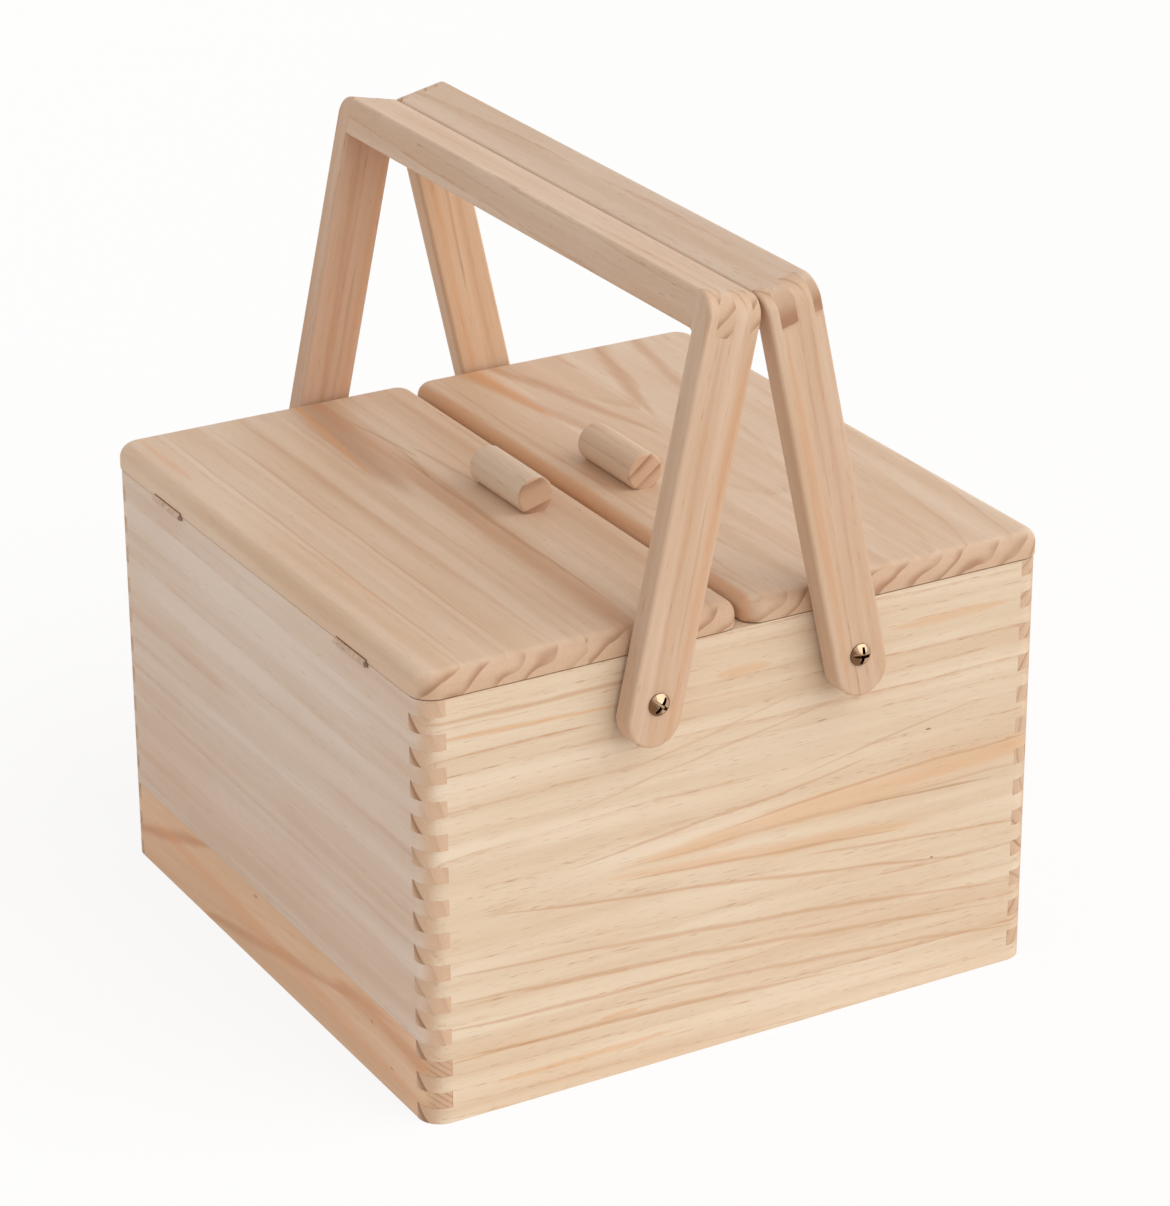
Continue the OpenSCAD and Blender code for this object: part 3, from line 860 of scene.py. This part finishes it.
LID_TONE = (1.06, 1.0, 1.01)
LID_ENDS = EndBands(0.62, 1, 8.7, 4.1, 1.05, wobble=16.0)
# The two boards of the right lid come from one log, so their rings meet in a V
RIGHT_LID_HEART = (67, 50)
RIGHT_LID_DRIFT = (0.0, -0.108)


def lid_cuts():
    """The boards of the lids, with places measured from the middle of the box."""
    top = corner("left_lid_outer_board", HIGH).z
    outer_streaks = (
        Streak((135, -128), (75, -128), 2.4, 0.35, "orange"),
        Streak((-5, -119), (-85, -118), 2.2, 0.3, "orange"),
        Streak((150, -117), (-150, -117), 1.2, 0.4, "umber"),
        Streak((150, -97), (-150, -97), 1.2, 0.4, "umber"),
        Streak((150, -84), (-150, -80), 3.0, 0.25, "umber"),
    )
    inner_streaks = (
        Streak((270, -36), (10, -60), 14.0, 0.62, "brown", -3.0),
        Streak((200, -46), (-260, -50), 7.5, 0.6, "umber"),
        Streak((190, -50), (40, -64), 3.0, 0.6, "orange"),
        Streak((80, -44), (-125, -44), 1.5, 0.4, "brown"),
        Streak((110, -45), (52, -37), 1.4, 0.4, "brown", 1.0),
        Streak((70, -39), (30, -45), 1.4, 0.3, "brown"),
        Streak((70, -35), (10, -29), 1.6, 0.3, "brown"),
        Streak((150, -15), (-150, -12), 5.0, 0.35, "umber"),
        Streak((150, -28), (-150, -25), 2.5, 0.35, "pink"),
    )
    right_inner_streaks = (
        Streak((170, 28), (22, 63), 5.0, 0.55, "umber", 2.0),
        Streak((190, 13), (30, 40), 6.0, 0.5, "umber", 2.0),
        Streak((190, 25), (60, 33), 6.0, 0.6, "orange"),
        Streak((200, 3), (-200, 3), 4.0, 0.6, "orange"),
        Streak((150, 12), (-150, 11), 2.0, 0.35, "umber"),
    )
    right_outer_streaks = (
        Streak((170, 103), (40, 68), 5.0, 0.5, "umber", -2.0),
        Streak((170, 118), (40, 92), 4.0, 0.45, "umber", -1.0),
        Streak((150, 66), (110, 70), 3.0, 0.35, "umber"),
    )
    return {
        "left_lid_outer_board": Cut(
            (0, 0, top), Y, X, -Z, heart=(-330, 60), drift=(0.0, 0.0), ring=9.5,
            seed=11, contrast=0.5, warm=0.3, tone=LID_TONE, ends=LID_ENDS, streaks=outer_streaks,
        ),
        "left_lid_inner_board": Cut(
            (0, 0, top), Y, X, -Z, heart=(-260, 50), drift=(0.03, 0.0), ring=8.0,
            seed=12, contrast=0.6, warm=0.45, tone=LID_TONE, ends=LID_ENDS, streaks=inner_streaks,
        ),
        "right_lid_inner_board": Cut(
            (0, 0, top), Y, X, -Z, heart=RIGHT_LID_HEART, drift=RIGHT_LID_DRIFT, ring=6.2,
            seed=13, contrast=0.6, warm=0.3, tone=LID_TONE, ends=LID_ENDS, streaks=right_inner_streaks,
        ),
        "right_lid_outer_board": Cut(
            (0, 0, top), Y, X, -Z, heart=RIGHT_LID_HEART, drift=RIGHT_LID_DRIFT, ring=6.2,
            seed=13, contrast=0.55, warm=0.1, tone=LID_TONE, ends=LID_ENDS, streaks=right_outer_streaks,
        ),
    }


# The tones of the front legs and of the left and the right back leg
HANDLE_TONE = (0.94, 0.85, 0.84)
BACK_LEG_TONES = ((0.93, 0.8, 0.78), (1.02, 0.94, 0.92))
BAR_TONE = (1.0, 0.93, 0.95)
LEG_SEEDS = {"front": 21, "back": 22}
BAR_SEED = 31
BAR_ENDS = {
    "left": EndBands(1.1, 1, 8.6, 2, 1.1),
    "right": EndBands(0.06, 1, 28.0, 11.6, 1.3),
}
# Streaks of the left and the right legs, from the pivot up
LEG_STREAKS = (
    (
        Streak((-30, 7), (150, 9), 3.0, 0.3, "orange"),
        Streak((-20, -2), (160, -4), 2.0, 0.25, "umber"),
        Streak((10, 4), (90, 3), 1.0, 0.25, "brown"),
    ),
    (
        Streak((-30, -7), (160, -6), 3.0, 0.3, "orange"),
        Streak((20, 3), (170, 5), 2.0, 0.25, "umber"),
        Streak((60, -1), (130, 0), 1.0, 0.25, "brown"),
    ),
)


def handle_frame(side):
    """The pivot, the way up the leg and the way across it, for one handle."""
    pivot = Vector(JOINTS[f"{side}_handle_pivot"]["pos_m"])
    low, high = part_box(f"{side}_handle_bar")
    up = (low + high) / 2 - pivot
    up.y = 0
    up.normalize()
    return pivot, up, Y.cross(up)


def handle_cuts():
    """The boards of the handles, each drawn from its pivot up its leg."""
    cuts = {}
    for number, side in enumerate(("left", "right")):
        pivot, up, across = handle_frame(side)
        bar_low, bar_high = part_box(f"{side}_handle_bar")
        for face, y, inward in (("front", bar_low.y, Y), ("back", bar_high.y, -Y)):
            origin = Vector((pivot.x, y, pivot.z))
            tone = HANDLE_TONE if face == "front" else BACK_LEG_TONES[number]
            cuts[f"{side}_handle_{face}_leg"] = Cut(
                origin, up, across, inward, heart=(-60, 18), drift=(0.03, 0.02), ring=5.0,
                seed=LEG_SEEDS[face] + number * 3, contrast=0.65, warm=0.3,
                tone=tone, end_tone=1.12, streaks=LEG_STREAKS[number],
            )
        top = Vector((pivot.x, 0, pivot.z)) + up * ((bar_high.z - pivot.z) / up.z)
        cuts[f"{side}_handle_bar"] = Cut(
            top, Y, across, -up, heart=(-24, 44), drift=(0.02, 0.03), ring=6.0,
            seed=BAR_SEED + number, contrast=0.8, warm=0.1, tone=BAR_TONE, ends=BAR_ENDS[side],
        )
    return cuts


KNOB_TONE = (1.08, 1.05, 1.08)
KNOB_SEED = 41
KNOB_ENDS = {
    "left": EndBands(-0.26, -1, 11.0, 12.0, 1.1),
    "right": EndBands(-0.79, -1, 8.0, 10.5, 1.1),
}


def knob_cuts():
    """The two dowels, each with the middle of its top as its origin."""
    cuts = {}
    for number, side in enumerate(("left", "right")):
        low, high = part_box(f"{side}_knob")
        origin = ((low.x + high.x) / 2, 0, high.z)
        cuts[f"{side}_knob"] = Cut(
            origin, Y, X, -Z, heart=(3, 22), drift=(0.03, 0.0), ring=6.0,
            seed=KNOB_SEED + number, contrast=0.45, warm=0.1,
            tone=KNOB_TONE, ends=KNOB_ENDS[side], end_tone=1.04,
        )
    return cuts


# One operator for each group of pieces


class CARRIER_OT_box(bpy.types.Operator):
    """Eases the boards of the box and gives each its own cut of pine"""

    bl_idname = "carrier.box"
    bl_label = "Box boards"

    def execute(self, context):
        scene = context.scene
        ease_boards(box_cuts(), scene.carrier_edges.board, scene.carrier_pine)
        return {"FINISHED"}


class CARRIER_OT_bottom(bpy.types.Operator):
    """Gives the bottom panel its plywood face"""

    bl_idname = "carrier.bottom"
    bl_label = "Bottom panel"

    def execute(self, context):
        top = corner("bottom_panel", HIGH).z
        cut = Cut(
            (0, 0, top), X, Y, -Z, heart=(30, 240), drift=(0.01, 0.05), ring=2.2,
            seed=51, contrast=0.5, warm=0.4,
        )
        material = pine_material("bottom_panel_ply", cut, context.scene.carrier_pine)
        give_material(frame["nodes"]["bottom_panel"], material)
        return {"FINISHED"}


class CARRIER_OT_lids(bpy.types.Operator):
    """Eases the boards of the two lids and gives each its own cut of pine"""

    bl_idname = "carrier.lids"
    bl_label = "Lids"

    def execute(self, context):
        scene = context.scene
        ease_boards(lid_cuts(), scene.carrier_edges.lid, scene.carrier_pine)
        return {"FINISHED"}


class CARRIER_OT_knobs(bpy.types.Operator):
    """Eases the two dowel knobs and gives them their grain"""

    bl_idname = "carrier.knobs"
    bl_label = "Knobs"

    def execute(self, context):
        scene = context.scene
        ease_boards(knob_cuts(), scene.carrier_edges.knob, scene.carrier_pine)
        return {"FINISHED"}


class CARRIER_OT_handles(bpy.types.Operator):
    """Eases the legs and bars of the two handles and gives each its own cut of pine"""

    bl_idname = "carrier.handles"
    bl_label = "Handles"

    def execute(self, context):
        scene = context.scene
        ease_boards(handle_cuts(), scene.carrier_edges.handle, scene.carrier_pine)
        return {"FINISHED"}


class CARRIER_OT_metal(bpy.types.Operator):
    """Gives the screws, washers, nuts and hinges their metals"""

    bl_idname = "carrier.metal"
    bl_label = "Metal"

    def execute(self, context):
        look = context.scene.carrier_metal
        finishes = {
            # The pivot nickel carries painted reflection and painted shade; the inner washers and nuts
            # get plain nickel below
            "pivot_steel": metal_material(
                "nickel_plate", look.nickel, roughness=0.16, wear=0.8, painted_reflection_shade=look.painted_reflection_shade
            ),
            "hinge_brass": metal_material("hinge_brass_plate", look.brass, roughness=0.46, wear=0.75),
            "screw_steel": metal_material("screw_plate", look.steel, roughness=0.3, wear=0.7),
        }
        for name, node in frame["nodes"].items():
            if SLOTS[name] in finishes:
                give_material(node, finishes[SLOTS[name]])
        nickel = metal_material("nickel_washers", look.nickel, roughness=0.24, wear=0.8)
        for name in ("inner_washers", "pivot_nuts"):
            give_material(frame["nodes"][name], nickel)
        return {"FINISHED"}


class CARRIER_OT_pivot_screws(bpy.types.Operator):
    """Models the four pivot screws with domed heads and cross recesses"""

    bl_idname = "carrier.pivot_screws"
    bl_label = "Pivot screws"

    def execute(self, context):
        look = context.scene.carrier_metal
        node = frame["nodes"]["pivot_screws"]
        low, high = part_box("pivot_screws")
        pivot = Vector(JOINTS["right_handle_pivot"]["pos_m"])
        sizes = {
            "radius": high.x - pivot.x,
            "seat": corner("left_handle_front_leg", LOW).y,
            "top": low.y,
            "tip": max(vertex.co.y for vertex in node.data.vertices if vertex.co.y < 0),
        }
        material = node.material_slots[0].material
        screws = []
        for side, turn in ((-1, look.left_turn), (1, look.right_turn)):
            model = model_screw(look, sizes, turn)
            for half_turn in (0, math.pi):
                screws.append(placed_copy(model, (side * pivot.x, 0, pivot.z), half_turn))
            bpy.data.objects.remove(model)
        select_only(*screws)
        bpy.ops.object.join()
        piece = bpy.context.active_object
        piece.name = "pivot_screws_domed"
        give_material(piece, material)
        stand_for(piece, "pivot_screws")
        return {"FINISHED"}


class CARRIER_OT_stage(bpy.types.Operator):
    """Sets up the camera, the lamps, the sky and the floor"""

    bl_idname = "carrier.stage"
    bl_label = "Stage"

    def execute(self, context):
        stage = context.scene.carrier_stage
        context.scene.view_settings.view_transform = "Standard"
        self.add_camera(context, stage)
        self.add_key(stage)
        self.add_sky(context, stage)
        self.add_floor(stage)
        return {"FINISHED"}

    def add_camera(self, context, stage):
        """Stands the camera at its angle, with no shift and no depth of field."""
        swing = stage.azimuth
        tilt = stage.elevation
        level = Vector((math.sin(swing), -math.cos(swing), 0))
        back = level * math.cos(tilt) + Z * math.sin(tilt)
        right = Vector((math.cos(swing), math.sin(swing), 0))
        up = back.cross(right)
        turn = stage.roll
        axes = (
            right * math.cos(turn) + up * math.sin(turn),
            up * math.cos(turn) - right * math.sin(turn),
            back,
        )
        place = axes[0] * stage.right + axes[1] * stage.up + back * stage.distance
        place.z += stage.target
        bpy.ops.object.camera_add()
        camera = bpy.context.active_object
        camera.name = "studio_camera"
        camera.matrix_world = Matrix.Translation(place) @ Matrix(axes).transposed().to_4x4()
        camera.data.lens = stage.focal
        camera.data.sensor_width = FILM_WIDTH
        camera.data.sensor_fit = "AUTO"
        camera.data.clip_end = FAR_CLIP
        context.scene.camera = camera

    def add_key(self, stage):
        """Adds the wide key lamp."""
        bpy.ops.object.light_add(type="SUN")
        lamp = bpy.context.active_object
        lamp.name = "key_lamp"
        lamp.rotation_euler = Vector(KEY_TOWARDS).to_track_quat("Z", "Y").to_euler()
        lamp.data.energy = stage.key
        lamp.data.angle = stage.key_spread

    def add_sky(self, context, stage):
        """Lights the object from all round, on a white background."""
        graph = Graph(bpy.data.worlds.new("studio_sky"))
        sockets = {"Value": graph.seen(), "To Min": stage.sky, "To Max": 1}
        level = graph.node("ShaderNodeMapRange", sockets=sockets)
        sky = graph.node("ShaderNodeBackground", sockets={"Color": (1, 1, 1, 1), "Strength": level})
        context.scene.world = graph.finish(sky, "ShaderNodeOutputWorld")

    def add_floor(self, stage):
        """Lays a pale floor that is plain white but for the shade on it."""
        bpy.ops.mesh.primitive_plane_add(size=stage.floor_size, location=(0, 0, 0))
        floor = bpy.context.active_object
        floor.name = "studio_floor"
        graph = Graph(bpy.data.materials.new("studio_floor_white"))
        sockets = {"Color": (*stage.floor_colour, 1), "Roughness": 0.5}
        matt = graph.node("ShaderNodeBsdfDiffuse", sockets=sockets)
        glow = graph.node("ShaderNodeEmission", sockets={"Color": (1, 1, 1, 1), "Strength": 1})
        share = graph.seen() * stage.floor_glow
        both = graph.node("ShaderNodeMixShader", sockets={0: share, 1: matt, 2: glow})
        give_material(floor, graph.finish(both))


class CARRIER_PT_panel(bpy.types.Panel):
    """Lists the sizes, the colours and the operators"""

    bl_label = "Sewing carrier"
    bl_idname = "CARRIER_PT_panel"
    bl_space_type = "VIEW_3D"
    bl_region_type = "UI"
    bl_category = "Carrier"

    def draw(self, context):
        for name in GROUPS:
            box = self.layout.box()
            group = getattr(context.scene, name)
            for key in group.bl_rna.properties.keys():
                if key not in ("name", "rna_type"):
                    box.prop(group, key)
        for operator in OPERATORS:
            self.layout.operator(operator.bl_idname)


GROUPS = {
    "carrier_pine": CarrierPine,
    "carrier_edges": CarrierEdges,
    "carrier_metal": CarrierMetal,
    "carrier_stage": CarrierStage,
}
OPERATORS = (
    CARRIER_OT_stage,
    CARRIER_OT_box,
    CARRIER_OT_bottom,
    CARRIER_OT_lids,
    CARRIER_OT_knobs,
    CARRIER_OT_handles,
    CARRIER_OT_metal,
    CARRIER_OT_pivot_screws,
)


def register():
    """Adds the settings to the scene and the operators and the panel to Blender."""
    for name, group in GROUPS.items():
        bpy.utils.register_class(group)
        setattr(bpy.types.Scene, name, bpy.props.PointerProperty(type=group))
    for operator in OPERATORS:
        bpy.utils.register_class(operator)
    bpy.utils.register_class(CARRIER_PT_panel)


def unregister():
    """Takes all of it away again."""
    bpy.utils.unregister_class(CARRIER_PT_panel)
    for operator in reversed(OPERATORS):
        bpy.utils.unregister_class(operator)
    for name, group in GROUPS.items():
        delattr(bpy.types.Scene, name)
        bpy.utils.unregister_class(group)


def main():
    """Builds everything in order."""
    register()
    bpy.ops.carrier.stage()
    bpy.ops.carrier.box()
    bpy.ops.carrier.bottom()
    bpy.ops.carrier.lids()
    bpy.ops.carrier.knobs()
    bpy.ops.carrier.handles()
    bpy.ops.carrier.metal()
    bpy.ops.carrier.pivot_screws()


if __name__ == "__main__":
    main()
